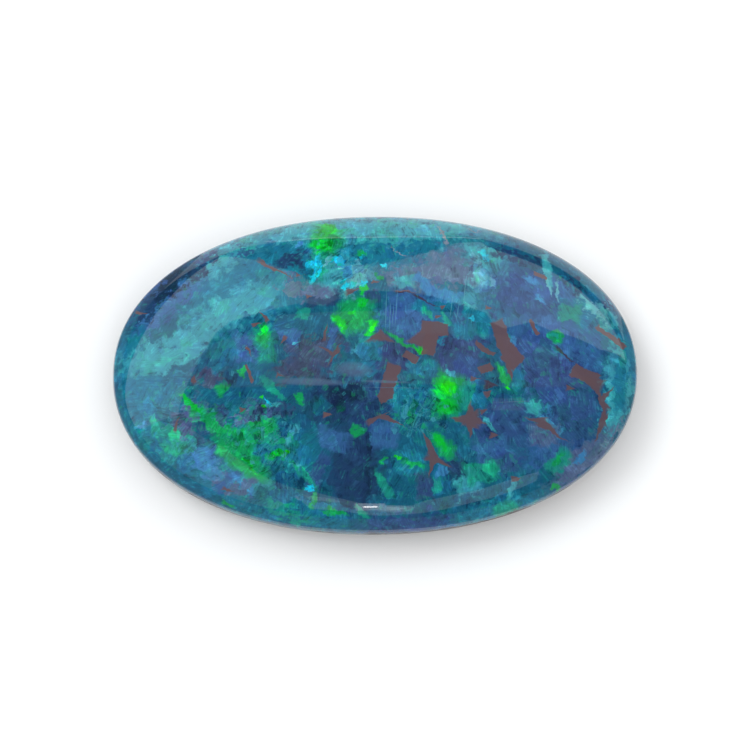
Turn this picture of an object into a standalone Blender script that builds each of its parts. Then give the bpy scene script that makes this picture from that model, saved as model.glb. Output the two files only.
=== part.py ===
"""Black opal cabochon: one polished natural stone, an oval with a low dome, a rounded girdle and a flat back.

Metres, +Z up. The stone rests on its flat back at z = 0, with its long axis along X and the origin under its crown.
"""

import math

import bmesh
import bpy

# Driving dimensions
LENGTH = 0.01575
WIDTH = 0.00976
GIRDLE_HEIGHT = 0.00095  # height of the widest line above the back
DOME_HEIGHT = 0.00205  # height of the crown above the widest line
BACK_INSET = 0.00055  # how far the edge of the flat back lies inside the widest outline

# Fullness of each curve: 2 is an ellipse, and more is squarer
OUTLINE_FULLNESS = 2.13
DOME_FULLNESS = 2.05
UNDERSIDE_FULLNESS = 2.2

# How finely the curved surface is divided
STEPS_AROUND = 120
DOME_RINGS = 14
UNDERSIDE_RINGS = 6

QUARTER_TURN = math.pi / 2

# Finish
STONE_COLOUR = (0.035, 0.16, 0.26, 1.0)
POLISH_ROUGHNESS = 0.06


def signed_power(value, exponent):
    """The value's size raised to the exponent, with its sign kept."""
    return math.copysign(abs(value) ** exponent, value)


def full_circle(angle, fullness):
    """Cosine and sine of an angle, reshaped so that they trace a superellipse of that fullness."""
    exponent = 2 / fullness
    return signed_power(math.cos(angle), exponent), signed_power(math.sin(angle), exponent)


def outline_point(angle):
    """A point of the stone's widest outline, seen from above."""
    along, across = full_circle(angle, OUTLINE_FULLNESS)
    return LENGTH / 2 * along, WIDTH / 2 * across


def outline_normal(angle):
    """The outward direction of the widest outline at that point."""
    along, across = full_circle(angle, OUTLINE_FULLNESS)
    slope_x = signed_power(along, OUTLINE_FULLNESS - 1) / LENGTH
    slope_y = signed_power(across, OUTLINE_FULLNESS - 1) / WIDTH
    size = math.hypot(slope_x, slope_y)
    return slope_x / size, slope_y / size


def ring_angles():
    return [2 * math.pi * step / STEPS_AROUND for step in range(STEPS_AROUND)]


def dome_ring(share):
    """A ring of the dome: share 0 is the crown, and share 1 is the girdle."""
    rise, reach = full_circle(share * QUARTER_TURN, DOME_FULLNESS)
    height = GIRDLE_HEIGHT + DOME_HEIGHT * rise
    points = [outline_point(angle) for angle in ring_angles()]
    return [(x * reach, y * reach, height) for x, y in points]


def underside_ring(share):
    """A ring under the girdle: share 0 is the girdle, and share 1 is the edge of the flat back."""
    reach, drop = full_circle(share * QUARTER_TURN, UNDERSIDE_FULLNESS)
    inset = BACK_INSET * (1 - reach)
    height = GIRDLE_HEIGHT * (1 - drop)
    ring = []
    for angle in ring_angles():
        x, y = outline_point(angle)
        normal_x, normal_y = outline_normal(angle)
        ring.append((x - inset * normal_x, y - inset * normal_y, height))
    return ring


def stone_rings():
    """All rings from just below the crown, over the girdle, to the edge of the back."""
    dome = [dome_ring(step / DOME_RINGS) for step in range(1, DOME_RINGS + 1)]
    underside = [underside_ring(step / UNDERSIDE_RINGS) for step in range(1, UNDERSIDE_RINGS + 1)]
    return dome + underside


def stone_mesh():
    """The closed stone: a crown point, bands between the rings, and one flat face for the back."""
    bm = bmesh.new()
    crown = bm.verts.new((0, 0, GIRDLE_HEIGHT + DOME_HEIGHT))
    rings = [[bm.verts.new(point) for point in ring] for ring in stone_rings()]
    for step in range(STEPS_AROUND):
        following = (step + 1) % STEPS_AROUND
        bm.faces.new((crown, rings[0][step], rings[0][following]))
        for upper, lower in zip(rings, rings[1:]):
            bm.faces.new((upper[step], lower[step], lower[following], upper[following]))
    bm.faces.new(reversed(rings[-1]))
    bmesh.ops.recalc_face_normals(bm, faces=bm.faces)
    mesh = bpy.data.meshes.new("opal")
    bm.to_mesh(mesh)
    bm.free()
    mesh.shade_smooth()
    mesh.set_sharp_from_angle(angle=math.radians(40))
    return mesh


def stone_material():
    material = bpy.data.materials.new("polished_black_opal")
    material.use_nodes = True
    shader = material.node_tree.nodes["Principled BSDF"]
    shader.inputs["Base Color"].default_value = STONE_COLOUR
    shader.inputs["Roughness"].default_value = POLISH_ROUGHNESS
    shader.inputs["Metallic"].default_value = 0.0
    return material


def clear_scene():
    for obj in list(bpy.data.objects):
        bpy.data.objects.remove(obj)


def main():
    clear_scene()
    stone = bpy.data.objects.new("opal", stone_mesh())
    stone.data.materials.append(stone_material())
    bpy.context.scene.collection.objects.link(stone)


main()
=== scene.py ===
"""Looks of the black opal cabochon: its polish, its play of colour, the floor, the lights and the camera.

Metres, +Z up. The stone lies on its flat back at z = 0 with its crown over the origin.
"""

import math

import bmesh
import bpy
from mathutils import Euler, Matrix, Vector


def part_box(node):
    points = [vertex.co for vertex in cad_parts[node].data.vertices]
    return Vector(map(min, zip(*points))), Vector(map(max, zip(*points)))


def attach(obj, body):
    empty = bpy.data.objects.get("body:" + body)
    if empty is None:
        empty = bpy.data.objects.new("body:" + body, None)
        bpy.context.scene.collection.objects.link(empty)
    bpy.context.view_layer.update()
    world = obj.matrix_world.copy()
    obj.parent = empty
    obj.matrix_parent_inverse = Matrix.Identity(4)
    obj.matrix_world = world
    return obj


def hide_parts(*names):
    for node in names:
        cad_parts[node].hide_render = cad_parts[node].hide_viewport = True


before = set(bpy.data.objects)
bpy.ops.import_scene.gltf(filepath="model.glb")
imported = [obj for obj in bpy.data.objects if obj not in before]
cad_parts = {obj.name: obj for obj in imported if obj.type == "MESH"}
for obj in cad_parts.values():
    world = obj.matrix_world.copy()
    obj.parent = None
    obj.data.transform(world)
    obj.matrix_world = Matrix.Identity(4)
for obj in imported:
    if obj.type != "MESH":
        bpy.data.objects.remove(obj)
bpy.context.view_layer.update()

MM = 0.001

# The stone's form: its size comes from the solid, and its curves are the solid's own
LOWEST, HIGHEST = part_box("opal")
HALF_LENGTH = (HIGHEST.x - LOWEST.x) / 2
HALF_WIDTH = (HIGHEST.y - LOWEST.y) / 2
CROWN_HEIGHT = HIGHEST.z
GIRDLE_HEIGHT = 0.95 * MM
BACK_INSET = 0.55 * MM
OUTLINE_FULLNESS = 2.13
DOME_FULLNESS = 2.05
UNDERSIDE_FULLNESS = 2.2

# How finely the polished surface is divided
STEPS_AROUND = 480
DOME_RINGS = 96
UNDERSIDE_RINGS = 24
BACK_RINGS = 12
QUARTER_TURN = math.pi / 2

# The camera looks steeply down from the front, turned a little so that the stone's right end is higher
CAMERA_TILT = math.radians(14)
CAMERA_ROLL = math.radians(0.55)
CAMERA_DISTANCE = 125 * MM
CAMERA_AIM = Vector((0, -0.09 * MM, 1.2 * MM))
LENS = 200  # mm
SENSOR = 36  # mm

# Lights
ROOM_GLOW = 1.05
ROOM_LIGHT = 1.3  # how brightly the room and the lamp together light the stone's own colours
PANEL_DISTANCE = 0.6
WHITE = (1, 1, 1)
PINKISH = (1.0, 0.86, 0.88)
BLUISH = (0.86, 0.95, 1.0)
WARM = (1.0, 0.6, 0.5)

# The floor, and the dark card just above it, which runs round the stone from back left to the right end
FLOOR_HALF = 2.0
FLOOR_COLOUR = (0.93, 0.93, 0.93, 1)
FLOOR_ROUGHNESS = 0.6
CARD_GAP = 1.0 * MM  # from the widest outline of the stone to the card
CARD_REACH = 0.5
CARD_HEIGHT = 0.1 * MM
CARD_SHADE = 0.32
CARD_START, CARD_END, CARD_STEP = 128, 384, 4  # degrees from +X towards +Y

# Finish of the stone
POLISHED_ROUGHNESS = 0.03
SMOOTHED_ROUGHNESS = 0.3
OPAL_IOR = 1.45
CLOUDS_PER_METRE = 900.0  # in the dark body below the girdle

# The play of colour breaks up into fragments, grain and veins of these sizes in mm
COARSE_FRAGMENT = 0.45
FINE_FRAGMENT = 0.13
GRAIN = 0.3
VEIN_MESH = 0.11

# How streaks run: their turn, how it changes along the stone, and how far one fragment may depart from it
STREAK_TURN = 2.0
STREAK_FAN = -0.13
STREAK_DEPARTURE = 1.3
STREAK_SPREAD = 40.0  # keeps the streaks of one fragment from going on in the next

# What the colours are multiplied by where the stone plays greener, more violet, darker or lighter
GREENER = (0.82, 1.28, 0.88, 1)
MORE_VIOLET = (1.0, 0.85, 1.12, 1)
DARKER = (0.42, 0.4, 0.46, 1)
LIGHTER = (1.8, 1.9, 1.7, 1)
BARELY_STREWN = (0.05, 0.05, 0.05, 1)

# What the chance numbers that make a place light, or green, usually add up to
USUAL_LIGHT = 1.5
USUAL_HUE = 1.72

FAR_AWAY = 9.0  # counted in sizes of a mark

# Which sockets of a Mix node hold colours
MIX_FIRST_COLOUR = 6
MIX_SECOND_COLOUR = 7
MIX_RESULT_COLOUR = 2

# Colours of the stone as they look in the room's light, in red, green and blue from 0 to FULL_SHADE
FULL_SHADE = 255
GAMMA = 2.2
COLOURS = {
    "lime": (40, 214, 36),
    "bright green": (22, 188, 58),
    "green": (28, 154, 86),
    "dark green": (22, 108, 84),
    "sea green": (36, 146, 130),
    "pale teal": (92, 166, 180),
    "bright teal": (64, 156, 172),
    "teal": (36, 118, 146),
    "deep teal": (32, 94, 122),
    "cyan": (34, 204, 238),
    "azure": (64, 134, 184),
    "blue": (58, 100, 152),
    "deep blue": (52, 82, 130),
    "indigo": (54, 76, 116),
    "navy": (40, 66, 102),
    "ink": (32, 52, 78),
    "mauve": (64, 80, 106),
    "slate": (80, 100, 136),
    "brown": (100, 82, 88),
    "dark brown": (68, 60, 76),
    "dark body": (50, 48, 54),
    "brown body": (86, 72, 70),
    "rust": (110, 86, 88),
    # a pale veil, not the stone's own colour: painted reflection of the lit room in the polish
    "painted reflection": (90, 112, 142),
    "blush": (134, 140, 150),
}

# Each mark: colour, place along and across the stone in mm, half length, half width, turn in degrees

# Broad, soft areas, with a few pale marks of painted reflection
AREAS = (
    ("teal", -3.7, 2.6, 2.2, 1.1, 22),
    ("bright teal", -4.2, 2.0, 1.5, 0.5, 25),
    ("blue", -6.2, 2.1, 1.2, 0.3, 42),
    ("bright teal", -6.2, 0.75, 1.5, 0.38, 20),
    ("teal", -7.2, 0.1, 1.4, 0.5, 88),
    ("teal", -6.6, -0.7, 1.0, 0.6, 10),
    ("teal", -6.5, -1.7, 1.2, 0.6, -45),
    ("deep teal", -4.3, -1.7, 1.8, 1.2, -20),
    ("teal", -3.0, -2.2, 1.2, 0.7, -20),
    ("blue", -3.7, 0.6, 0.9, 0.4, -45),
    ("deep teal", -2.3, 0.2, 1.5, 0.9, 20),
    ("navy", -0.8, -0.8, 1.5, 0.8, 5),
    ("ink", -0.8, -0.7, 0.9, 0.3, 5),
    ("navy", -0.6, -2.7, 0.8, 1.5, 0),
    ("deep teal", 1.0, -1.0, 1.1, 0.8, 0),
    ("deep teal", 0.9, -2.4, 1.0, 0.8, 0),
    ("indigo", 2.5, 0.6, 0.8, 0.9, 0),
    ("indigo", 0.6, 0.6, 0.7, 0.6, 0),
    ("blue", 5.3, 0.9, 1.7, 0.9, -20),
    ("deep blue", 5.5, -0.2, 1.0, 0.9, 0),
    ("teal", 6.3, 2.1, 1.1, 0.6, -42),
    ("deep blue", 5.9, -1.1, 0.9, 0.9, 0),
    ("deep blue", 3.9, -1.5, 1.0, 0.7, 10),
    ("bright teal", 7.3, -0.2, 1.2, 0.35, 88),
    ("deep teal", 3.3, -2.7, 1.4, 0.6, 10),
    ("blue", 5.0, -2.3, 1.3, 0.5, 25),
    ("teal", 2.6, 1.9, 1.3, 0.6, -20),
    ("blue", 1.0, 1.9, 0.7, 0.8, 0),
    ("bright teal", 0.0, 4.35, 3.6, 0.4, 0),
    ("teal", 0.6, 3.5, 2.3, 0.5, 0),
    ("slate", 2.3, 3.3, 0.7, 0.5, 0),
    ("bright teal", 3.3, 3.2, 0.8, 0.7, -60),
    ("deep blue", 4.4, 2.5, 1.2, 0.7, -20),
    ("bright teal", -4.8, 3.4, 1.6, 0.35, 26),
    ("teal", -5.0, -3.0, 1.9, 0.45, -38),
    ("teal", -1.7, -4.2, 2.2, 0.4, -6),
    ("deep blue", 0.9, -4.5, 1.5, 0.35, 0),
    ("sea green", -2.6, -4.1, 0.7, 0.2, -20),
    ("deep blue", 6.0, -3.0, 0.7, 0.25, 42),
    ("teal", 3.6, -4.1, 1.6, 0.4, 16),
    ("slate", 6.2, -2.5, 1.2, 0.35, 42),
    ("green", -4.5, -1.7, 1.3, 0.28, -38),
    ("sea green", -3.4, -2.0, 0.9, 0.4, -10),
    ("sea green", -5.9, -2.0, 0.9, 0.3, -42),
    ("navy", -6.2, 2.7, 1.2, 0.24, 43),
    ("navy", -5.3, 3.25, 0.9, 0.2, 33),
    ("ink", -6.1, 2.65, 0.6, 0.24, 44),
    ("navy", -6.8, 1.9, 0.6, 0.14, 53),
    ("deep blue", -6.75, 2.5, 1.1, 0.12, 48),
    ("deep blue", -5.5, 3.55, 1.0, 0.12, 33),
    ("slate", -3.7, -1.3, 0.5, 0.2, 0),
    ("navy", 2.4, -2.75, 0.45, 0.4, 0),
    ("deep blue", 3.9, -2.6, 0.6, 0.3, 10),
    # painted reflection: a pale veil where the polish mirrors the lit room
    ("painted reflection", 0.9, 2.9, 0.8, 0.25, -5),
    ("pale teal", 6.6, 2.0, 0.5, 0.2, -42),
    ("bright teal", 7.1, -1.4, 0.5, 0.2, 75),
    ("mauve", -2.4, 0.1, 0.7, 0.22, 0),
    ("slate", -5.7, -1.3, 0.7, 0.35, 60),
    ("azure", -5.2, -2.6, 0.7, 0.3, -40),
    ("bright teal", -3.9, -2.8, 0.9, 0.4, -35),
    ("teal", -0.6, 0.1, 0.8, 0.25, 0),
    ("blue", -6.9, 2.5, 0.9, 0.1, 48),
    ("blue", -5.6, 3.62, 0.9, 0.1, 33),
    ("navy", 4.15, 3.6, 0.95, 0.17, -19),
    ("deep teal", 6.0, 2.7, 0.9, 0.2, -40),
    ("navy", 6.0, 2.6, 0.45, 0.1, -38),
    ("navy", 6.95, 1.98, 0.3, 0.13, -52),
    ("indigo", 2.5, 0.1, 0.7, 0.3, 0),
    # painted reflection: a pale veil where the polish mirrors the lit room
    ("painted reflection", 2.0, 3.1, 1.1, 0.4, -8),
    ("slate", -1.8, 2.5, 0.6, 0.3, -10),
    ("pale teal", -0.8, 2.95, 0.7, 0.4, 10),
    ("mauve", -5.0, 0.0, 0.6, 0.26, -5),
    ("indigo", -4.9, -1.4, 0.5, 0.3, 60),
    ("navy", -5.4, -2.2, 0.5, 0.25, -40),
    ("slate", -4.6, -3.1, 0.9, 0.2, -38),
    ("indigo", -3.2, -1.0, 0.6, 0.25, 0),
    ("navy", -2.55, 3.4, 0.5, 0.26, 15),
    ("deep blue", -3.95, 3.75, 0.4, 0.14, 20),
    ("bright teal", -6.0, 0.5, 0.9, 0.25, 22),
    ("mauve", -1.8, 0.9, 0.9, 0.25, 0),
    ("mauve", -2.0, 0.4, 0.6, 0.5, 0),
    ("deep teal", -2.75, 0.45, 0.6, 0.22, -50),
    ("mauve", -2.88, 0.1, 0.3, 0.2, -20),
    ("indigo", -1.53, 0.45, 0.3, 0.25, 0),
    ("indigo", 5.4, 0.0, 0.6, 0.5, 0),
    ("blue", 4.75, -0.1, 0.8, 0.26, -65),
    ("azure", 5.3, -1.5, 0.5, 0.2, -45),
    ("teal", 7.2, -0.7, 0.8, 0.26, 85),
    ("teal", 7.75, 0.6, 1.2, 0.2, -86),
    # painted reflection: the pale band where the lower right rim mirrors the floor
    ("painted reflection", 6.9, -2.15, 1.0, 0.16, 48),
    ("bright teal", -0.3, 0.8, 0.42, 0.26, 0),
    # painted reflection: a pale veil where the polish mirrors the lit room
    ("painted reflection", -2.3, 2.6, 0.5, 0.25, -10),
)

# Fragments of blue and teal with fairly straight sides
FRAGMENTS = (
    # crown, to the right of the green cluster
    ("indigo", -0.08, 2.33, 0.22, 0.19, 0),
    ("blue", 1.02, 1.79, 0.62, 0.36, 84),
    ("teal", 1.44, 1.97, 0.38, 0.17, -35),
    ("teal", -0.18, 0.77, 0.32, 0.3, 0),
    ("indigo", 0.51, 0.57, 0.44, 0.36, 15),
    ("teal", 1.38, 0.23, 0.42, 0.26, -8),
    ("indigo", 2.45, 0.86, 0.6, 0.5, 10),
    ("teal", 3.12, 1.87, 0.28, 0.2, 0),
    ("deep blue", 2.5, 1.8, 0.15, 0.3, 0),
    ("blue", 2.98, 1.5, 0.34, 0.17, 0),
    ("deep blue", 2.7, 0.2, 0.42, 0.36, -15),
    ("teal", 2.01, 1.1, 0.15, 0.06, 60),
    ("teal", 2.88, -0.5, 0.36, 0.2, 80),
    ("teal", 1.0, -0.62, 0.5, 0.3, 20),
    ("deep teal", 1.3, -1.3, 0.55, 0.3, -10),
    ("dark green", 1.11, -1.13, 0.33, 0.13, 80),
    ("ink", -0.81, -0.6, 0.55, 0.3, 12),
    ("navy", -0.5, -1.15, 0.5, 0.28, -20),
    ("teal", 2.82, 1.55, 0.55, 0.42, 0),
    ("azure", 1.5, 2.72, 0.36, 0.17, -46),
    ("azure", 2.13, 2.37, 0.44, 0.18, -10),
    ("bright teal", 0.87, 2.8, 0.3, 0.18, 0),
    ("bright teal", 2.85, 2.25, 0.2, 0.26, 0),
    # left
    ("sea green", -3.4, 1.1, 0.3, 0.3, 20),
    ("teal", -4.56, 0.59, 0.5, 0.32, 45),
    ("sea green", -3.3, 0.8, 0.26, 0.42, 8),
    ("sea green", -2.2, 1.86, 0.22, 0.2, 0),
    ("blue", -2.55, 1.2, 0.32, 0.26, -20),
    ("blue", -3.99, 0.67, 0.5, 0.17, 45),
    ("deep teal", -5.3, 0.35, 0.5, 0.25, 30),
    ("teal", -3.21, -2.24, 0.4, 0.18, 0),
    ("sea green", -3.96, -2.54, 0.72, 0.22, -32),
    ("azure", -5.04, -2.36, 0.2, 0.18, 0),
    ("indigo", -4.62, -1.28, 0.24, 0.2, 70),
    ("indigo", -3.54, -1.22, 0.24, 0.18, 0),
    ("bright teal", -2.49, -1.79, 0.3, 0.08, 60),
    ("teal", -2.19, -2.6, 0.5, 0.14, 75),
    ("azure", -4.0, -3.25, 0.4, 0.1, -35),
    ("azure", -7.05, -1.53, 0.15, 0.06, 20),
    ("deep teal", -4.3, 0.1, 0.3, 0.2, 60),
    ("blue", -1.29, 1.1, 0.37, 0.11, 80),
    ("dark green", -1.05, -0.92, 0.14, 0.1, 30),
    ("navy", -1.59, 2.22, 0.5, 0.14, 5),
    ("ink", -0.25, -2.9, 1.0, 0.07, 88),
    ("blue", -1.25, -1.9, 0.5, 0.3, -20),
    ("deep blue", -0.2, -0.5, 0.4, 0.25, 30),
    ("deep teal", -1.6, -0.9, 0.3, 0.2, 40),
    ("deep blue", -1.7, -2.9, 0.6, 0.2, 70),
    ("deep teal", -2.4, 1.75, 0.5, 0.26, 20),
    ("blue", -4.4, -3.2, 0.45, 0.14, 38),
    ("slate", -3.9, -3.35, 0.4, 0.1, 42),
    # right
    ("deep blue", 3.51, 1.76, 0.1, 0.1, 0),
    ("deep blue", 4.74, 0.95, 0.52, 0.42, -20),
    ("blue", 5.5, 1.3, 0.5, 0.3, -30),
    ("teal", 4.29, 0.02, 0.2, 0.13, 0),
    ("azure", 4.17, 0.98, 0.22, 0.07, -60),
    ("sea green", 5.85, 1.85, 0.3, 0.25, 0),
    ("deep blue", 6.03, -1.07, 0.42, 0.37, 0),
    ("bright teal", 4.74, -0.98, 0.22, 0.18, 0),
    ("teal", 7.35, -0.32, 0.75, 0.19, 90),
    ("deep blue", 4.02, -1.25, 0.48, 0.3, 0),
    ("slate", 5.07, -1.79, 0.45, 0.34, 0),
    ("green", 2.18, -0.6, 0.68, 0.42, 82),
    ("sea green", 2.78, -0.6, 0.42, 0.18, 80),
    ("sea green", 5.5, -2.6, 0.42, 0.24, 45),
    ("green", 5.5, -2.55, 0.22, 0.09, 50),
    ("azure", 6.18, -2.5, 0.25, 0.09, 50),
    ("blue", 4.83, 2.57, 0.4, 0.28, -30),
    ("blue", 5.6, 2.6, 0.5, 0.14, -40),
    # below the middle
    ("blue", 0.27, -1.82, 0.42, 0.4, 0),
    ("teal", 1.95, -3.0, 0.3, 0.16, 80),
    ("indigo", 1.47, -3.3, 0.42, 0.24, 95),
    ("navy", -0.6, -3.1, 0.7, 0.36, 90),
    ("bright teal", 2.79, -3.29, 0.36, 0.25, 20),
    ("sea green", 1.86, -3.29, 0.24, 0.12, 90),
    ("azure", 2.04, -2.87, 0.14, 0.11, 0),
    ("teal", 1.02, -2.63, 0.46, 0.3, 0),
    ("sea green", 3.21, -2.93, 0.52, 0.3, 10),
    ("blue", 3.5, -2.2, 0.5, 0.28, 20),
)

# Parts where small bright fragments lie thickly. How thickly is given as a shade from dark to light.
LUSH = (
    ("deep blue", 0.4, 0.2, 3.3, 1.9, 0),
    ("deep blue", 5.4, -0.4, 1.6, 1.6, 0),
    ("deep blue", 0.2, -3.9, 4.6, 0.8, 0),
    ("deep blue", -0.5, 4.3, 2.6, 0.4, 0),
    ("deep blue", -4.7, 0.3, 1.0, 0.7, 40),
    ("slate", -5.6, -1.6, 1.6, 1.2, -40),
    ("pale teal", -3.6, -1.7, 1.3, 0.9, -30),
    ("slate", -2.6, -2.9, 1.2, 0.7, -25),
    ("slate", -3.3, 1.2, 1.0, 0.6, 20),
    ("pale teal", -1.3, 3.4, 1.0, 0.5, -30),
    ("pale teal", 1.2, -1.0, 0.9, 0.7, 0),
    ("slate", 1.2, -2.7, 0.9, 0.4, 0),
    ("slate", 3.2, -2.9, 0.9, 0.5, 10),
    ("slate", 3.3, -0.9, 0.4, 0.9, 0),
    ("slate", 3.3, 3.0, 0.5, 1.0, 20),
    ("ink", -0.6, -2.8, 0.8, 1.2, 0),
)

# Gaps where the dark body of the stone shows between the fragments
GAPS = (
    # crown
    ("brown", -0.66, 2.53, 0.22, 0.09, 15),
    ("dark brown", 0.95, 2.45, 0.34, 0.04, 3),
    ("dark brown", 1.55, 2.2, 0.5, 0.04, -28),
    ("brown", 1.32, 1.1, 0.36, 0.44, 184),
    ("brown", 0.16, 1.16, 0.16, 0.42, 90),
    ("brown", 0.1, -1.28, 0.36, 0.1, 25),
    ("brown", 0.5, -1.4, 0.42, 0.1, -22),
    ("rust", 2.08, 2.02, 0.1, 0.06, 30),
    ("rust", 1.92, 1.72, 0.09, 0.05, 0),
    # star of brown right of the big green flake
    ("brown", 2.7, -1.32, 0.42, 0.28, 180),
    ("brown", 2.88, -1.14, 0.36, 0.3, 92),
    ("brown", 3.06, -1.37, 0.32, 0.2, -20),
    ("brown", 2.85, -1.58, 0.26, 0.2, -93),
    ("brown", 3.3, -1.07, 0.12, 0.1, 20),
    ("brown", 3.57, -1.79, 0.11, 0.09, 0),
    ("brown", 1.62, -2.14, 0.46, 0.15, 112),
    ("brown", 1.95, -2.58, 0.42, 0.18, -30),
    ("brown", 1.72, -2.76, 0.3, 0.15, -110),
    # right
    ("brown", 4.05, 0.12, 0.25, 0.12, -80),
    ("rust", 3.42, 2.0, 0.1, 0.06, 0),
    ("dark brown", 3.51, -0.31, 0.22, 0.15, 0),
    ("brown", 3.05, -0.12, 0.15, 0.08, 0),
    ("brown", 3.4, -0.56, 0.13, 0.12, 30),
    ("dark brown", 5.74, 0.6, 0.42, 0.06, -37),
    ("brown", 6.48, -0.2, 0.36, 0.26, 150),
    ("brown", 6.72, -0.62, 0.5, 0.12, 116),
    ("brown", 6.84, -1.1, 0.4, 0.1, 92),
    ("brown", 6.72, -1.6, 0.46, 0.12, -112),
    ("brown", 7.0, -0.56, 0.26, 0.1, 35),
    ("brown", 5.86, -0.42, 0.12, 0.09, 0),
    ("brown", 4.8, -1.32, 0.34, 0.13, 168),
    ("brown", 5.35, -1.7, 0.6, 0.13, -34),
    # left
    ("rust", -3.36, 1.73, 0.19, 0.07, 135),
    ("rust", -3.56, 1.49, 0.14, 0.05, 20),
    ("rust", -2.76, 1.04, 0.16, 0.06, 235),
    ("rust", -3.8, 0.72, 0.19, 0.035, -60),
    ("brown", -2.84, -0.02, 0.12, 0.08, 0),
    ("brown", -5.4, -0.08, 0.14, 0.11, 90),
    ("rust", -3.93, -1.04, 0.1, 0.1, 0),
    ("rust", -1.4, -1.16, 0.13, 0.12, 0),
    ("brown", -1.5, 0.72, 0.28, 0.07, 150),
    ("brown", -1.28, 0.5, 0.34, 0.06, -124),
    ("brown", -1.15, 0.78, 0.22, 0.06, 55),
    ("brown", -1.5, 1.3, 0.3, 0.07, 75),
    ("rust", -2.95, 3.13, 0.6, 0.06, -31),
    ("rust", -2.29, 2.98, 0.1, 0.06, 0),
    ("rust", -1.96, 2.36, 0.1, 0.07, 0),
    ("rust", 0.02, 2.77, 0.13, 0.06, 0),
    ("rust", 0.9, 2.48, 0.32, 0.03, 0),
    ("rust", -7.0, 1.87, 0.2, 0.05, -5),
    ("brown", -4.38, -3.47, 0.2, 0.06, -20),
    ("brown", -5.93, -1.45, 0.24, 0.05, 75),
    # below the middle
    ("brown", 4.26, -3.13, 0.14, 0.1, 0),
)

# Larger gaps with fairly straight sides
PATCHES = (
    ("brown", 1.75, 1.4, 0.42, 0.18, -5),
    ("brown", 1.64, 1.0, 0.2, 0.4, -6),
    ("brown", 1.07, 0.54, 0.22, 0.12, -32),
    ("brown", 0.45, -0.16, 0.5, 0.22, 75),
    ("brown", 0.3, -0.62, 0.22, 0.14, 30),
    ("brown", 3.84, 1.05, 0.6, 0.2, -66),
    ("brown", 4.16, 0.52, 0.3, 0.27, -50),
    ("brown", 3.29, 0.8, 0.34, 0.07, -34),
    ("brown", 3.32, 0.21, 0.19, 0.1, 25),
    ("brown", 6.3, 0.0, 0.4, 0.2, -27),
    ("rust", 4.77, 1.44, 0.24, 0.05, -60),
    ("rust", 7.08, 1.13, 0.55, 0.08, -37),
    ("rust", 4.92, 2.97, 0.24, 0.06, -25),
    ("rust", -3.77, 0.02, 0.28, 0.045, -62),
)

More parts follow.
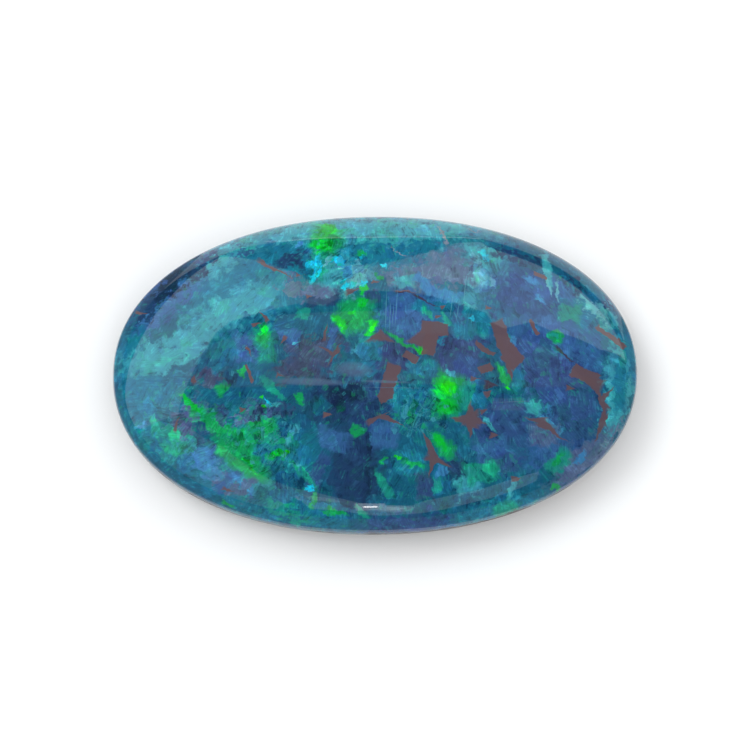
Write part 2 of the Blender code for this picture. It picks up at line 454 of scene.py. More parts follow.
# The brightest flakes, which lie over everything else
FLASHES = (
    # green cluster near the crown
    ("green", -0.6, 1.85, 0.6, 0.5, 20),
    ("bright green", -1.03, 1.54, 0.33, 0.13, -62),
    ("bright green", -0.36, 2.6, 0.15, 0.11, 40),
    ("bright green", -0.39, 2.2, 0.19, 0.13, -60),
    ("bright green", -0.63, 1.84, 0.12, 0.1, 0),
    ("bright green", -0.06, 1.46, 0.24, 0.15, 60),
    ("lime", -0.02, 1.42, 0.12, 0.07, 60),
    ("lime", -0.98, 1.42, 0.12, 0.05, -62),
    ("bright green", -0.18, 1.23, 0.18, 0.08, 0),
    ("green", 0.86, 1.0, 0.66, 0.07, -28),
    ("bright green", 1.36, 0.74, 0.2, 0.1, -28),
    ("lime", 1.45, 0.7, 0.07, 0.05, 0),
    # big green flake and the leaf below it
    ("bright green", 2.12, -0.36, 0.32, 0.3, 0),
    ("lime", 2.2, -0.36, 0.22, 0.2, 0),
    ("bright green", 2.12, -0.92, 0.3, 0.27, 0),
    ("bright teal", 2.25, 0.12, 0.18, 0.08, -40),
    ("green", 2.04, -2.1, 0.5, 0.24, -42),
    ("bright green", 1.98, -2.02, 0.26, 0.12, -42),
    ("green", -0.54, -1.66, 0.22, 0.16, 20),
    ("green", 0.25, -2.54, 0.14, 0.05, 80),
    ("lime", 0.66, -2.48, 0.16, 0.04, -25),
    ("green", 1.14, -2.66, 0.33, 0.12, -10),
    # right
    ("green", 3.87, -0.02, 0.46, 0.13, -62),
    ("green", 5.43, 1.15, 0.26, 0.2, -30),
    ("lime", 4.05, -0.36, 0.08, 0.05, -60),
    ("teal", 4.33, -0.16, 0.32, 0.12, 80),
    ("sea green", 5.34, 1.19, 0.16, 0.09, 0),
    ("bright teal", 5.14, 3.05, 0.5, 0.1, -72),
    ("teal", 3.2, -0.75, 0.3, 0.12, 78),
    ("bright teal", 3.42, -1.46, 0.25, 0.07, -50),
    ("bright teal", 4.12, -3.47, 0.33, 0.1, 75),
    ("green", 5.4, -3.38, 0.13, 0.11, 0),
    # left
    ("sea green", -3.06, -0.4, 0.5, 0.12, -40),
    ("bright green", -5.5, -0.87, 0.44, 0.1, -40),
    ("green", -5.0, -1.4, 0.4, 0.12, -35),
    ("green", -4.44, -1.8, 0.34, 0.14, -5),
    ("green", -4.05, -2.5, 1.0, 0.36, -37),
    ("bright green", -3.75, -2.7, 0.3, 0.07, -48),
    ("green", -3.36, -1.6, 0.42, 0.24, 35),
    ("green", -2.25, -0.72, 0.2, 0.11, -75),
    ("dark green", -4.38, -1.88, 0.27, 0.12, -10),
    ("green", -4.58, -0.41, 0.22, 0.15, 30),
    ("lime", -3.35, -0.96, 0.1, 0.07, 0),
    ("lime", -3.36, -0.62, 0.04, 0.07, 0),
    ("green", -3.2, -1.35, 0.16, 0.12, 0),
    ("green", -3.99, -1.79, 0.15, 0.08, 60),
    ("green", -3.6, -1.5, 0.2, 0.09, 10),
    ("green", -3.6, -2.04, 0.17, 0.07, 0),
    ("bright green", -2.95, -2.36, 0.32, 0.08, 10),
    ("lime", -2.7, -2.3, 0.07, 0.05, 0),
    ("green", -3.35, 1.25, 0.34, 0.22, 75),
    ("bright green", -3.35, 1.36, 0.18, 0.12, 80),
    ("green", -3.28, 0.88, 0.12, 0.08, 0),
    ("green", -4.0, 0.1, 0.13, 0.07, 60),
    ("bright teal", -2.32, 0.97, 0.14, 0.05, 35),
    ("bright teal", -3.06, -0.9, 0.24, 0.1, 0),
    ("cyan", -3.2, -0.8, 0.2, 0.03, -60),
    ("bright teal", -2.4, -2.7, 0.2, 0.1, 0),
    ("cyan", -1.97, -3.38, 0.13, 0.06, 0),
    ("sea green", -6.48, -1.58, 0.32, 0.2, -40),
    ("sea green", -6.1, -2.25, 0.36, 0.16, -30),
    ("green", -4.41, -3.88, 0.2, 0.08, -25),
    # top and bottom rims
    ("green", -1.46, 4.05, 0.52, 0.44, 10),
    ("bright green", -1.6, 3.92, 0.32, 0.24, -30),
    ("bright green", -1.45, 4.35, 0.34, 0.16, 5),
    ("sea green", -1.65, 3.3, 0.42, 0.3, 65),
    ("bright teal", -1.25, 2.95, 0.45, 0.3, 20),
    ("cyan", -1.72, 3.43, 0.26, 0.08, 82),
    ("cyan", -1.95, 3.29, 0.18, 0.07, 35),
    ("cyan", -1.86, 3.03, 0.26, 0.08, 78),
    ("cyan", -1.66, 3.12, 0.2, 0.06, 70),
    ("pale teal", -1.43, 3.38, 0.2, 0.06, 62),
    ("cyan", -1.14, 3.43, 0.24, 0.12, -8),
    ("azure", -0.88, 3.1, 0.22, 0.13, 65),
    ("cyan", -0.85, 3.14, 0.16, 0.12, 60),
    ("cyan", -0.98, 2.93, 0.18, 0.07, 75),
    ("cyan", -0.8, 2.68, 0.24, 0.1, 15),
    ("pale teal", -0.53, 2.7, 0.08, 0.04, 0),
    ("cyan", -0.34, 2.76, 0.16, 0.11, 30),
    ("green", -0.42, 3.69, 0.17, 0.08, 0),
    ("cyan", -0.45, 3.55, 0.1, 0.08, 60),
    ("pale teal", -0.34, 3.18, 0.07, 0.05, 0),
    ("cyan", 0.23, 3.21, 0.1, 0.04, -30),
    ("green", 0.08, 2.92, 0.18, 0.06, -50),
    ("bright teal", -2.86, 4.08, 0.3, 0.09, 5),
    ("azure", -2.3, 3.95, 0.13, 0.09, 60),
    ("bright teal", 2.84, 3.84, 0.22, 0.09, -42),
    ("bright teal", 3.2, 3.2, 0.55, 0.2, -75),
    ("cyan", 3.3, 3.52, 0.26, 0.09, -70),
    ("pale teal", 3.1, 3.3, 0.4, 0.06, -68),
    ("pale teal", 3.16, 2.9, 0.26, 0.17, -60),
    ("green", 3.2, 2.86, 0.16, 0.09, -40),
    ("pale teal", 3.5, 2.86, 0.16, 0.08, -60),
    ("cyan", 2.9, 1.7, 0.1, 0.05, 60),
    ("sea green", 1.56, 1.88, 0.26, 0.09, -50),
    ("sea green", 2.13, 1.68, 0.26, 0.07, -55),
    ("pale teal", 5.19, 2.67, 0.28, 0.07, -72),
    ("pale teal", 5.5, 2.54, 0.32, 0.06, -86),
    ("bright teal", 5.16, 3.38, 0.32, 0.1, -78),
    ("green", 5.12, 3.1, 0.13, 0.06, -60),
    ("azure", 4.68, 2.79, 0.24, 0.09, -30),
    ("azure", 4.94, 2.27, 0.2, 0.07, -30),
    ("bright teal", 7.17, 1.65, 0.27, 0.08, -60),
    ("blush", 2.05, 4.2, 0.3, 0.05, -62),
    ("blush", 0.69, 3.74, 0.3, 0.02, -33),
    ("blush", 3.0, 4.3, 0.24, 0.015, -8),
    ("green", -1.2, -4.1, 0.4, 0.1, -12),
    ("green", -1.83, -3.7, 0.3, 0.08, 75),
    ("sea green", -0.4, -4.1, 0.3, 0.09, -50),
    ("sea green", 0.27, -3.28, 0.46, 0.13, -62),
    ("sea green", -2.3, -2.85, 0.45, 0.1, -50),
    ("sea green", -1.95, -3.1, 0.34, 0.09, -60),
    ("sea green", 3.9, -4.0, 0.4, 0.24, 15),
)

# Fine straight lines, and pale horizontal streaks and spots of painted reflection where the polish
# mirrors the lit room above
LINES_AND_PAINTED_REFLECTIONS = (
    ("pale teal", 0.33, 1.95, 0.55, 0.012, 88),
    ("pale teal", 0.45, 1.75, 0.4, 0.01, 87),
    ("pale teal", 0.54, 1.8, 0.3, 0.01, 86),
    ("pale teal", 0.64, 2.0, 0.5, 0.011, 86),
    ("pale teal", 2.3, 2.1, 0.35, 0.012, 82),
    ("pale teal", 2.48, 1.9, 0.3, 0.01, 80),
    ("pale teal", 2.7, 2.6, 0.4, 0.012, 84),
    # painted reflection: pale horizontal streaks and spots where the polish mirrors the lit room above
    ("painted reflection", 0.3, -0.2, 0.6, 0.04, -2),
    ("painted reflection", 0.5, -0.38, 0.8, 0.01, -1),
    ("painted reflection", -2.0, -0.2, 0.95, 0.1, -2),
    ("painted reflection", -0.66, 0.17, 0.5, 0.2, -4),
    ("painted reflection", 4.2, -0.8, 0.6, 0.01, 2),
)


def signed_power(value, exponent):
    """The value's size raised to the exponent, with its sign kept."""
    return math.copysign(abs(value) ** exponent, value)


def full_circle(angle, fullness):
    """Cosine and sine of an angle, reshaped so that they trace a superellipse of that fullness."""
    exponent = 2 / fullness
    return signed_power(math.cos(angle), exponent), signed_power(math.sin(angle), exponent)


def outline_point(angle):
    """A point of the stone's widest outline, seen from above."""
    along, across = full_circle(angle, OUTLINE_FULLNESS)
    return HALF_LENGTH * along, HALF_WIDTH * across


def outline_normal(angle):
    """The outward direction of the widest outline at that point."""
    along, across = full_circle(angle, OUTLINE_FULLNESS)
    slope = Vector((
        signed_power(along, OUTLINE_FULLNESS - 1) / HALF_LENGTH,
        signed_power(across, OUTLINE_FULLNESS - 1) / HALF_WIDTH,
    ))
    return slope.normalized()


def ring_angles():
    return [2 * math.pi * step / STEPS_AROUND for step in range(STEPS_AROUND)]


def dome_ring(share):
    """A ring of the dome: share 0 is the crown, and share 1 is the girdle."""
    rise, reach = full_circle(share * QUARTER_TURN, DOME_FULLNESS)
    height = GIRDLE_HEIGHT + (CROWN_HEIGHT - GIRDLE_HEIGHT) * rise
    return [(x * reach, y * reach, height) for x, y in map(outline_point, ring_angles())]


def underside_ring(share):
    """A ring under the girdle: share 0 is the girdle, and share 1 is the edge of the flat back."""
    reach, drop = full_circle(share * QUARTER_TURN, UNDERSIDE_FULLNESS)
    inset = BACK_INSET * (1 - reach)
    height = GIRDLE_HEIGHT * (1 - drop)
    ring = []
    for angle in ring_angles():
        x, y = outline_point(angle)
        normal = outline_normal(angle)
        ring.append((x - inset * normal.x, y - inset * normal.y, height))
    return ring


def back_ring(share):
    """A ring on the flat back: share 0 is its edge, and share 1 is its middle."""
    return [(x * (1 - share), y * (1 - share), 0) for x, y, _ in underside_ring(1)]


def shares(count):
    """Steps from just above 0 up to 1."""
    return [step / count for step in range(1, count + 1)]


def stone_rings():
    """All rings from just below the crown, over the girdle, to just before the middle of the back."""
    dome = [dome_ring(share) for share in shares(DOME_RINGS)]
    underside = [underside_ring(share) for share in shares(UNDERSIDE_RINGS)]
    back = [back_ring(share) for share in shares(BACK_RINGS)[:-1]]
    return dome + underside + back


def stone_piece():
    """The whole stone as one closed, smooth mesh."""
    bm = bmesh.new()
    crown = bm.verts.new((0, 0, CROWN_HEIGHT))
    middle = bm.verts.new((0, 0, 0))
    rings = [[bm.verts.new(point) for point in ring] for ring in stone_rings()]
    for step in range(STEPS_AROUND):
        following = (step + 1) % STEPS_AROUND
        bm.faces.new((crown, rings[0][step], rings[0][following]))
        for upper, lower in zip(rings, rings[1:]):
            bm.faces.new((upper[step], lower[step], lower[following], upper[following]))
        bm.faces.new((middle, rings[-1][following], rings[-1][step]))
    bmesh.ops.recalc_face_normals(bm, faces=bm.faces)
    mesh = bpy.data.meshes.new("polished_opal")
    bm.to_mesh(mesh)
    bm.free()
    mesh.shade_smooth()
    return placed("polished_opal", mesh)


def placed(name, data):
    """A new object in the scene that shows that mesh or camera."""
    piece = bpy.data.objects.new(name, data)
    bpy.context.scene.collection.objects.link(piece)
    return piece


def sheet(name, points, faces):
    """A flat stage piece: the floor, a lit panel or the dark card."""
    mesh = bpy.data.meshes.new(name)
    mesh.from_pydata(points, [], faces)
    return placed(name, mesh)


class Field:
    """A socket whose value varies over the stone. Arithmetic on it adds Math nodes."""

    def __init__(self, recipe, socket):
        self.recipe = recipe
        self.socket = socket

    def combine(self, operation, first, second):
        return self.recipe.add("Math", {"operation": operation}, {0: first, 1: second})

    def __add__(self, other):
        return self.combine("ADD", self, other)

    def __radd__(self, other):
        return self.combine("ADD", other, self)

    def __sub__(self, other):
        return self.combine("SUBTRACT", self, other)

    def __rsub__(self, other):
        return self.combine("SUBTRACT", other, self)

    def __mul__(self, other):
        return self.combine("MULTIPLY", self, other)

    def __rmul__(self, other):
        return self.combine("MULTIPLY", other, self)

    def size(self):
        return self.combine("ABSOLUTE", self, 0.0)

    def higher(self, other):
        return self.combine("MAXIMUM", self, other)

    def lower(self, other):
        return self.combine("MINIMUM", self, other)

    def ramp(self, start, end, low=0.0, high=1.0):
        """Goes smoothly from low to high as this value goes from start to end."""
        values = {"Value": self, "From Min": start, "From Max": end, "To Min": low, "To Max": high}
        return self.recipe.add("MapRange", {"interpolation_type": "SMOOTHSTEP"}, values)


class Recipe:
    """The nodes of one material or group."""

    def __init__(self, tree):
        self.tree = tree

    def fill(self, node, sockets):
        for key, value in sockets.items():
            if isinstance(value, Field):
                self.tree.links.new(value.socket, node.inputs[key])
            else:
                node.inputs[key].default_value = value

    def add(self, kind, settings, sockets, output=0):
        """Adds one node. Its settings are set first, and then its sockets get values or links."""
        node = self.tree.nodes.new("ShaderNode" + kind)
        for key, value in settings.items():
            setattr(node, key, value)
        self.fill(node, sockets)
        return Field(self, node.outputs[output])

    def mix(self, factor, first, second, blend="MIX"):
        """Colour first where the factor is 0, and second where it is 1."""
        settings = {"data_type": "RGBA", "blend_type": blend}
        sockets = {0: factor, MIX_FIRST_COLOUR: first, MIX_SECOND_COLOUR: second}
        return self.add("Mix", settings, sockets, MIX_RESULT_COLOUR)

    def vector(self, operation, first, second=(0, 0, 0), third=(0, 0, 0), output=0):
        sockets = {0: first, 1: second, 2: third}
        return self.add("VectorMath", {"operation": operation}, sockets, output)

    def dot(self, first, second):
        return self.vector("DOT_PRODUCT", first, second, output=1)

    def scaled(self, vector, amount):
        return self.add("VectorMath", {"operation": "SCALE"}, {0: vector, "Scale": amount})

    def pushed(self, place, push, reach):
        """The place, moved by a push times the reach, with its depth kept."""
        return self.vector("MULTIPLY_ADD", push, (reach, reach, 0), place)

    def flat(self, place):
        """The place with its depth replaced by 1, so that a dot product can hold a shift too."""
        return self.vector("MULTIPLY_ADD", place, (1, 1, 0), (0, 0, 1))

    def noise(self, place, size, detail=2.0, roughness=0.5):
        """Three chance numbers, as a vector, in a cloudy pattern of that size."""
        sockets = {"Vector": place, "Scale": 1 / size, "Detail": detail, "Roughness": roughness}
        return self.add("TexNoise", {}, sockets, 1)

    def off_middle(self, chances):
        """Chance numbers from 0 to 1, counted from their middle."""
        return self.vector("SUBTRACT", chances, (0.5, 0.5, 0.5))

    def wander(self, place, size, reach):
        """The place, pushed aside by up to the reach in a pattern of that size."""
        return self.pushed(place, self.off_middle(self.noise(place, size, detail=1.0)), 2 * reach)

    def fragments(self, place, size):
        """The middle of the fragment that holds a place, and three chance numbers of that fragment."""
        middle = self.add("TexVoronoi", {}, {"Vector": place, "Scale": 1 / size}, "Position")
        return middle, Field(self, middle.socket.node.outputs["Color"])

    def drawn(self, place, middle, share):
        """The place, drawn towards the middle of its fragment, so that paint there gets broken edges."""
        return self.pushed(place, self.vector("SUBTRACT", middle, place), share)

    def turned(self, place, middle, chance):
        """The place, counted from the middle of its fragment and turned as that fragment's streaks run.

        The streaks fan out from one end of the stone to the other, and each fragment departs from that.
        """
        local = self.vector("SUBTRACT", place, middle)
        fan = self.dot(middle, (STREAK_FAN, 0, 0))
        departure = self.dot(chance, (STREAK_DEPARTURE, 0, 0))
        sockets = {"Vector": local, "Angle": fan + departure - STREAK_TURN}
        return self.add("VectorRotate", {"rotation_type": "Z_AXIS"}, sockets)

    def streaks(self, turned, chance, length, width):
        """Straight streaks inside each fragment, as three chance numbers."""
        own_part = self.scaled(chance, STREAK_SPREAD)
        spread = self.vector("MULTIPLY_ADD", turned, (1 / length, 1 / width, 2), own_part)
        return self.noise(spread, size=1.0, detail=3.0, roughness=0.6)


def paint(name):
    """A named colour as it looks in a room that lights it this brightly: the stone's own, or painted
    reflection.
    """
    return (*[(share / FULL_SHADE) ** GAMMA / ROOM_LIGHT for share in COLOURS[name]], 1)


def fire_plane(recipe):
    """Places in mm in the slanted plane of the play of colour, with the crown near the middle."""
    slant = (-CAMERA_TILT, 0, CAMERA_ROLL)
    start = Euler(slant).to_matrix() @ CAMERA_AIM / MM
    own = recipe.add("TexCoord", {}, {}, "Object")
    sockets = {"Vector": own, "Location": -start, "Rotation": slant, "Scale": (1 / MM, 1 / MM, 1 / MM)}
    place = recipe.add("Mapping", {}, sockets)
    depth = recipe.dot(place, (0, 0, 1))
    return recipe.scaled(place, depth * (MM / CAMERA_DISTANCE) + 1)


def mark_group(name, distance):
    """A group that measures how far a place is from the nearest mark, counted in sizes of that mark."""
    tree = bpy.data.node_groups.new(name, "ShaderNodeTree")
    tree.interface.new_socket("Others", in_out="INPUT", socket_type="NodeSocketFloat")
    for socket in ("Place", "Along", "Across"):
        tree.interface.new_socket(socket, in_out="INPUT", socket_type="NodeSocketVector")
    tree.interface.new_socket("Distance", in_out="OUTPUT", socket_type="NodeSocketFloat")
    recipe = Recipe(tree)
    outputs = tree.nodes.new("NodeGroupInput").outputs
    given = {socket.name: Field(recipe, socket) for socket in outputs if socket.name}
    along = recipe.dot(given["Place"], given["Along"])
    across = recipe.dot(given["Place"], given["Across"])
    nearest = distance(along, across).lower(given["Others"])
    recipe.fill(tree.nodes.new("NodeGroupOutput"), {"Distance": nearest})
    return tree


def oval_distance(along, across):
    return along * along + across * across


def block_distance(along, across):
    return along.size().higher(across.size())


def wedge_distance(along, across):
    """A triangle whose point lies in the direction of its length."""
    return (across.size() * 2.0 + along).higher(along * -1.0)


def mark_frame(x, y, long, wide, turn):
    """What a place is multiplied by to be counted along and across a mark, in sizes of that mark."""
    cosine = math.cos(math.radians(turn))
    sine = math.sin(math.radians(turn))
    along = (cosine / long, sine / long, -(x * cosine + y * sine) / long)
    across = (-sine / wide, cosine / wide, (x * sine - y * cosine) / wide)
    return along, across


def painted(recipe, place, colour, marks, group, soft, cover=1.0):
    """The colour with marks painted over it, one colour after the other.

    A cover below 1 lets what is under the marks show through.
    """
    for name in dict.fromkeys(mark[0] for mark in marks):
        distance = FAR_AWAY
        for mark in marks:
            if mark[0] == name:
                along, across = mark_frame(*mark[1:])
                sockets = {"Others": distance, "Place": place, "Along": along, "Across": across}
                distance = recipe.add("Group", {"node_tree": group}, sockets)
        colour = recipe.mix(distance.ramp(1 + soft, 1 - soft, 0.0, cover), colour, paint(name))
    return colour


class Fire:
    """What the layers of the play of colour share.

    Fragments come in two sizes. The coarse ones each have fine streaks and broader strokes that run
    their own way.
    """

    def __init__(self, recipe):
        self.recipe = recipe
        self.ovals = mark_group("oval mark", oval_distance)
        self.blocks = mark_group("straight-sided mark", block_distance)
        self.wedges = mark_group("pointed mark", wedge_distance)

        self.plane = fire_plane(recipe)
        calm = recipe.wander(self.plane, size=0.9, reach=0.1)
        lively = recipe.wander(calm, size=0.16, reach=0.035)
        self.grain = recipe.noise(calm, GRAIN, detail=6.0, roughness=0.64)
        self.ragged = recipe.off_middle(self.grain)
        self.place = recipe.pushed(lively, self.ragged, reach=0.35)

        self.coarse_middle, self.coarse_chance = recipe.fragments(self.place, COARSE_FRAGMENT)
        self.fine_middle, self.fine_chance = recipe.fragments(self.place, FINE_FRAGMENT)
        turned = recipe.turned(calm, self.coarse_middle, self.coarse_chance)
        self.streaks = recipe.streaks(turned, self.coarse_chance, length=0.55, width=0.05)
        self.strokes = recipe.streaks(turned, self.coarse_chance, length=0.6, width=0.17)
        self.streak = recipe.dot(self.streaks, (1, 0, 0))
        self.fine_light = recipe.dot(self.fine_chance, (1, 0, 0))
        self.fine_hue = recipe.dot(self.fine_chance, (0, 1, 0))

        self.broad_place = self.broken(self.coarse_middle, share=0.33, raggedness=1.2)
        self.crisp_place = self.broken(self.fine_middle, share=0.25, raggedness=0.2)
        self.gap_place = self.broken(self.fine_middle, share=0.08, raggedness=-0.15)
        thickly = painted(recipe, self.broad_place, BARELY_STREWN, LUSH, self.ovals, soft=0.8)
        self.lush = recipe.dot(thickly, (0.5, 0.5, 0.5))

    def broken(self, middle, share, raggedness):
        """Places for a layer of marks whose edges break up along fragments and are ragged too."""
        drawn = self.recipe.drawn(self.place, middle, share)
        return self.recipe.flat(self.recipe.pushed(drawn, self.ragged, raggedness))


def marks_of_fire(recipe, fire):
    """The marks that play in blue, teal and green, from the broad areas up to the brightest flakes."""
    colour = painted(recipe, fire.broad_place, paint("deep teal"), AREAS, fire.ovals, soft=0.85)
    colour = painted(recipe, fire.crisp_place, colour, FRAGMENTS, fire.blocks, soft=0.25, cover=0.85)
    return painted(recipe, fire.crisp_place, colour, FLASHES, fire.ovals, soft=0.65, cover=0.95)


def shimmer(recipe, fire, colour):
    """The colour with light and dark, and green and violet, in its streaks, strokes and fragments.

    Each chance number has its own weight, and the usual sum of them all is taken off at the end.
    """
    spread = fire.lush.ramp(0.08, 0.18, 0.65, 1.03)
    light = recipe.dot(fire.strokes, (1.1, 0, 0)) + recipe.dot(fire.grain, (1.5, 0, 0))
    light = light + recipe.dot(fire.coarse_chance, (0, 0.4, 0)) - USUAL_LIGHT
    light = light * spread + (fire.streak - 0.5) * (fire.lush * 2.2 + 0.75)
    light = light + (fire.fine_light - 0.5) * (fire.lush + 0.15)
    hue = recipe.dot(fire.streaks, (0, 0.4, 0)) + recipe.dot(fire.strokes, (0, 0.8, 0))
    hue = hue + recipe.dot(fire.grain, (0, 0, 1.6)) + recipe.dot(fire.coarse_chance, (0, 0, 0.65))
    hue = (hue - USUAL_HUE) * spread
    colour = recipe.mix(hue.ramp(0.0, 0.5), colour, GREENER, "MULTIPLY")
    colour = recipe.mix(hue.ramp(0.0, -0.5), colour, MORE_VIOLET, "MULTIPLY")
    colour = recipe.mix(light.ramp(0.0, -0.6), colour, DARKER, "MULTIPLY")
    return recipe.mix(light.ramp(0.0, 0.6), colour, LIGHTER, "MULTIPLY")


def gaps_and_lines(recipe, fire, colour):
    """The colour with the dark body in its gaps, and hairlines and painted reflections over everything.
    """
    plain_place = recipe.flat(fire.plane)
    colour = painted(recipe, fire.gap_place, colour, GAPS, fire.wedges, soft=0.25, cover=0.92)
    colour = painted(recipe, fire.gap_place, colour, PATCHES, fire.blocks, soft=0.08, cover=0.95)
    # Over everything: fine hairlines, and pale streaks and spots of painted reflection
    return painted(recipe, plain_place, colour, LINES_AND_PAINTED_REFLECTIONS, fire.ovals, soft=0.9, cover=0.55)


def strewn(recipe, fire, colour):
    """The colour with light veins and small bright fragments where they lie thickly, but not in gaps."""
    playing = recipe.dot(colour, (-2.2, 1, 1)).ramp(0.0, 0.02)
    settings = {"voronoi_dimensions": "2D", "feature": "DISTANCE_TO_EDGE"}
    sockets = {"Vector": fire.place, "Scale": 1 / VEIN_MESH}
    vein = recipe.add("TexVoronoi", settings, sockets, "Distance").ramp(0.1, 0.02)
    vein = vein * recipe.dot(fire.grain, (0, 1, 0)).ramp(0.45, 0.6)
    vein = vein * (fire.lush * 1.3 + 0.05).ramp(0.0, 0.7)
    colour = recipe.mix(vein * playing * 0.4, colour, paint("pale teal"))
    speckle = fire.lush * 0.7 + recipe.dot(fire.fine_chance, (0, 0, 0.6)) + fire.streak * 0.8
    glint = recipe.mix(fire.fine_hue.ramp(0.3, 0.6), paint("sea green"), paint("bright teal"))
    glint = recipe.mix(fire.fine_light.ramp(0.7, 0.8), glint, paint("green"))
    return recipe.mix(speckle.ramp(0.95, 1.3) * playing * 0.7, colour, glint)


def opal_material():
    """The play of colour under a polish, and below the girdle the dark body, which is only smoothed."""
    material = bpy.data.materials.new("polished black opal")
    material.use_nodes = True
    recipe = Recipe(material.node_tree)
    fire = Fire(recipe)
    colour = marks_of_fire(recipe, fire)
    colour = shimmer(recipe, fire, colour)
    colour = gaps_and_lines(recipe, fire, colour)
    colour = strewn(recipe, fire, colour)

    own = recipe.add("TexCoord", {}, {}, "Object")
    cloud = recipe.add("TexNoise", {}, {"Vector": own, "Scale": CLOUDS_PER_METRE, "Detail": 4.0})
    body = (recipe.dot(own, (0, 0, 1 / MM)) + cloud * 1.2).ramp(1.45, 1.38)
    body_colour = recipe.mix(cloud.ramp(0.35, 0.7), paint("dark body"), paint("brown body"))
    colour = recipe.mix(body, colour, body_colour)
    shine = body.ramp(0.0, 1.0, POLISHED_ROUGHNESS, SMOOTHED_ROUGHNESS)
    shader = material.node_tree.nodes["Principled BSDF"]
    recipe.fill(shader, {"Base Color": colour, "Roughness": shine, "IOR": OPAL_IOR})
    return material


def floor_material():
    material = bpy.data.materials.new("pale floor")
    material.use_nodes = True
    recipe = Recipe(material.node_tree)
    shader = material.node_tree.nodes["Principled BSDF"]
    recipe.fill(shader, {"Base Color": FLOOR_COLOUR, "Roughness": FLOOR_ROUGHNESS})
    return material


def floor_piece():
    signs = ((-1, -1), (1, -1), (1, 1), (-1, 1))
    corners = [(x * FLOOR_HALF, y * FLOOR_HALF, 0) for x, y in signs]
    floor = sheet("floor", corners, [(0, 1, 2, 3)])
    floor.data.materials.append(floor_material())
    return floor


def facing(place, aim):
    """The turn that points an object's -Z at the aim, with its X kept level."""
    return (aim - place).to_track_quat("-Z", "Y")


def camera():
    data = bpy.data.cameras.new("camera")
    data.lens = LENS
    data.sensor_width = SENSOR
    data.clip_start = 1 * MM
    data.clip_end = 10
    view = placed("camera", data)
    toward = Vector((0, -math.sin(CAMERA_TILT), math.cos(CAMERA_TILT)))
    place = CAMERA_AIM + CAMERA_DISTANCE * toward
    turn = facing(place, CAMERA_AIM).to_matrix().to_4x4()
    view.matrix_world = Matrix.Translation(place) @ turn @ Matrix.Rotation(-CAMERA_ROLL, 4, "Z")
    bpy.context.scene.camera = view


def sky_point(azimuth, elevation, distance):
    """A point seen from the stone: azimuth from +X towards +Y, and elevation above the floor."""
    azimuth = math.radians(azimuth)
    elevation = math.radians(elevation)
    level = math.cos(elevation) * distance
    return level * math.cos(azimuth), level * math.sin(azimuth), math.sin(elevation) * distance


def glow_material(name, colour, radiance, fade=None):
    """Light of that radiance. With a fade, it weakens from one x to another, down to a share of it."""
    material = bpy.data.materials.new(name)
    material.use_nodes = True
    recipe = Recipe(material.node_tree)
    material.node_tree.nodes.remove(material.node_tree.nodes["Principled BSDF"])
    if fade:
        full, weak, share = fade
        across = recipe.dot(recipe.add("TexCoord", {}, {}, "Object"), (1, 0, 0))
        radiance = across.ramp(full, weak, radiance, radiance * share)
    glow = recipe.add("Emission", {}, {"Color": (*colour, 1), "Strength": radiance})
    recipe.fill(material.node_tree.nodes["Material Output"], {"Surface": glow})
    return material


def panel(name, corners, radiance, colour=WHITE, distance=PANEL_DISTANCE, fade=None):
    """A lit panel that the dome mirrors, with its corners given as azimuth and elevation in degrees."""
    points = [sky_point(azimuth, elevation, distance) for azimuth, elevation in corners]
    piece = sheet(name, points, [tuple(range(len(points)))])
    piece.data.materials.append(glow_material(name, colour, radiance, fade))
    piece.visible_camera = False
    piece.visible_shadow = False
    return piece


def ring_around(reach_x, reach_y, turns):
    return [(reach_x * math.cos(turn), reach_y * math.sin(turn), CARD_HEIGHT) for turn in turns]


def dark_card():
    """A dark card around the left and front of the stone, which only the polish mirrors."""
    turns = [math.radians(turn) for turn in range(CARD_START, CARD_END + 1, CARD_STEP)]
    inner = ring_around(HALF_LENGTH + CARD_GAP, HALF_WIDTH + CARD_GAP, turns)
    outer = ring_around(CARD_REACH, CARD_REACH, turns)
    count = len(turns)
    faces = [(step, step + 1, count + step + 1, count + step) for step in range(count - 1)]
    card = sheet("dark_card", inner + outer, faces)
    card.data.materials.append(glow_material("dark card", BLUISH, CARD_SHADE))
    card.visible_camera = False
    card.visible_diffuse = False
    card.visible_shadow = False


def back_lights():
    """The two large softboxes behind the stone, and the bright edge of the room low behind it."""
    panel("left_panel", (
        (97, 56), (101, 58.5), (105, 56), (120, 56), (127, 55), (134, 56), (143.5, 58), (160, 58),
        (176, 56), (190, 52), (200, 30), (195, 2), (180, 4), (168, 14), (159, 21), (147, 24),
        (129, 19.5), (112, 3), (107, 27), (103.3, 41.7), (100.7, 47), (97.4, 50),
    ), radiance=1.7, colour=BLUISH, fade=(-0.3, -0.03, 0.5))
    panel("right_panel", (
        (95, 53), (86, 53.5), (79, 54.5), (72, 56.3), (63, 57.3), (58, 60), (53, 60.4), (49.4, 54),
        (42, 52.4), (24, 37), (16, 6), (28, 12), (39, 14.4), (52, 14.3), (61, 14.1), (67, 14.7),
        (74, 14), (76.2, 7.3), (79.5, 16.3), (82, 28), (85.7, 35.5), (90, 40.4), (93.5, 46.8),
    ), radiance=1.7, colour=BLUISH, fade=(0.3, 0.0, 0.65))
    panel("low_back", (
        (108, 0.5), (103, 7.4), (99, 12), (94, 15), (90, 15.5), (85, 12.4), (80, 4.2), (78, 0.5),
    ), radiance=0.9)
    panel("back_edge", (
        (104, 1.5), (101, 9.6), (97.4, 12.6), (93, 15.6), (90, 16.4), (86, 14.8), (82, 11.4),
        (76.5, 1.5), (77, 0.5), (82, 10), (86, 13.4), (90, 15), (93, 14.2), (97.4, 11.2),
        (101, 8.2), (103.5, 0.5),
    ), radiance=2.4, colour=PINKISH, distance=0.59)


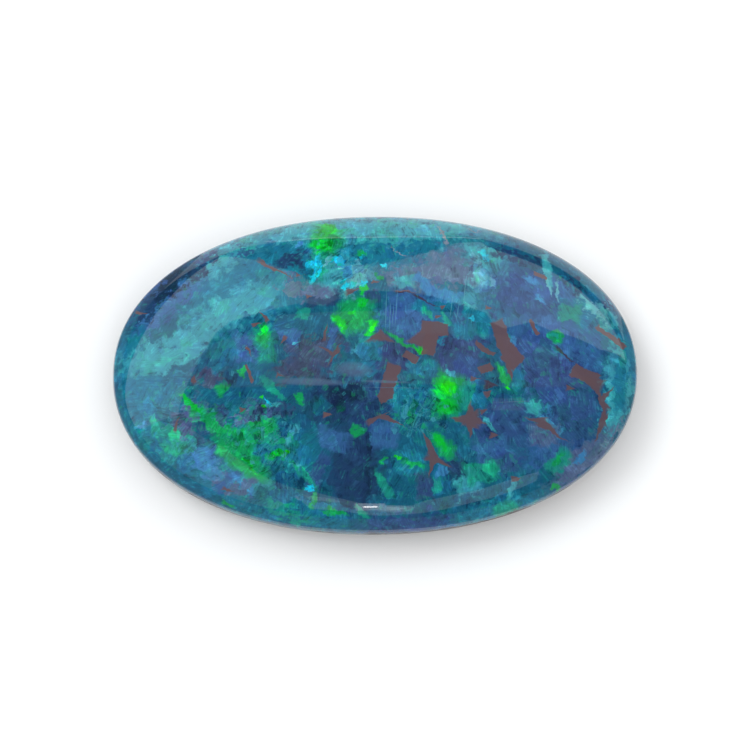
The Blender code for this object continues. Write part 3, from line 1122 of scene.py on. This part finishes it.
def front_lights():
    """The strip light in front of the stone, with the brighter parts that lie before it."""
    panel("front_left", (
        (190, 51), (209.5, 55), (218, 56.8), (233, 52.4), (243.5, 46.4), (251.6, 42.8), (255, 42),
        (252, 3), (230, 3), (210, 3), (200, 3),
    ), radiance=0.6)
    panel("front_strip", (
        (251.6, 42.8), (258, 41.2), (263.6, 36.6), (267.1, 32.4), (268.8, 29.7), (275.8, 26.2),
        (278.8, 31.7), (287.4, 35.2), (289.4, 34.2), (297, 35.4), (303.4, 35.1), (309, 31),
        (305, 19.3), (294, 17.6), (287.4, 17.2), (277.9, 11.1), (270.1, 10.1), (264.3, 18.9),
        (258.7, 17.9),
    ), radiance=1.1, colour=BLUISH)
    panel("front_streak", (
        (253.5, 34.2), (254.9, 36.8), (262, 36.2), (264, 32.6), (262.5, 30.5), (255.4, 29),
    ), radiance=2.2, colour=BLUISH, distance=0.59)
    panel("front_glow", (
        (269, 31), (269.4, 25.2), (270.4, 18.2), (272.6, 15.5), (275.4, 17.7), (276.3, 23.4),
        (273.7, 27.2), (271.2, 28),
    ), radiance=2.6, colour=BLUISH, distance=0.575)
    panel("front_core", (
        (269.4, 28.5), (269.9, 23.5), (271.2, 20), (273.2, 19.5), (274.6, 22), (273.2, 25), (271, 26.5),
    ), radiance=5.0, colour=BLUISH, distance=0.565)
    panel("spark", (
        (268, 27), (270.1, 27.3), (270.2, 25.3), (268.2, 24.8),
    ), radiance=24.0, distance=0.55)
    panel("spark_glow", (
        (266.5, 31), (271.2, 31), (271.6, 21), (267, 20),
    ), radiance=4.0, colour=BLUISH, distance=0.56)


def overhead_lights():
    """The ceiling and the lamps under it, and the lamp that lights the stone but isn't mirrored."""
    panel("ceiling", (
        (152.5, 74.3), (125, 80), (90, 82.6), (55, 80), (27.5, 74.3), (65.6, 58.9), (114.4, 58.9),
    ), radiance=0.45)
    panel("warm_ceiling", (
        (169.8, 57.3), (151.8, 54.3), (132.9, 60.1), (112.4, 66.4), (89.9, 68.5), (66.9, 66.8),
        (45.6, 60.8), (26.4, 54.8), (6.5, 46.9), (14.7, 68.7), (35.3, 78.9), (90.1, 83.7),
        (144.2, 78.8), (161.3, 70.3),
    ), radiance=0.34, colour=WARM, distance=0.62)
    panel("ceiling_lamp", (
        (106.7, 75.7), (92.1, 76.5), (92.6, 79.7), (111.1, 78.7),
    ), radiance=0.8, distance=0.59)
    panel("right_lamp", (
        (6, 74), (3.4, 68), (351, 67.3), (350, 73.7),
    ), radiance=0.5)
    key = panel("key", (
        (124, 35), (174, 35), (174, 65), (124, 65),
    ), radiance=3.3, distance=0.9)
    key.visible_glossy = False


def room():
    """A pale room that lights everything evenly. The polish doesn't mirror it, only the stage pieces."""
    world = bpy.data.worlds.new("room")
    bpy.context.scene.world = world
    world.use_nodes = True
    glow = (ROOM_GLOW, ROOM_GLOW, ROOM_GLOW, 1)
    world.node_tree.nodes["Background"].inputs["Color"].default_value = glow
    world.cycles_visibility.glossy = False
    bpy.context.scene.view_settings.view_transform = "Standard"


def main():
    stone = stone_piece()
    stone.data.materials.append(opal_material())
    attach(stone, "root")
    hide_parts("opal")
    floor = floor_piece()
    camera()
    back_lights()
    front_lights()
    overhead_lights()
    dark_card()
    room()


main()
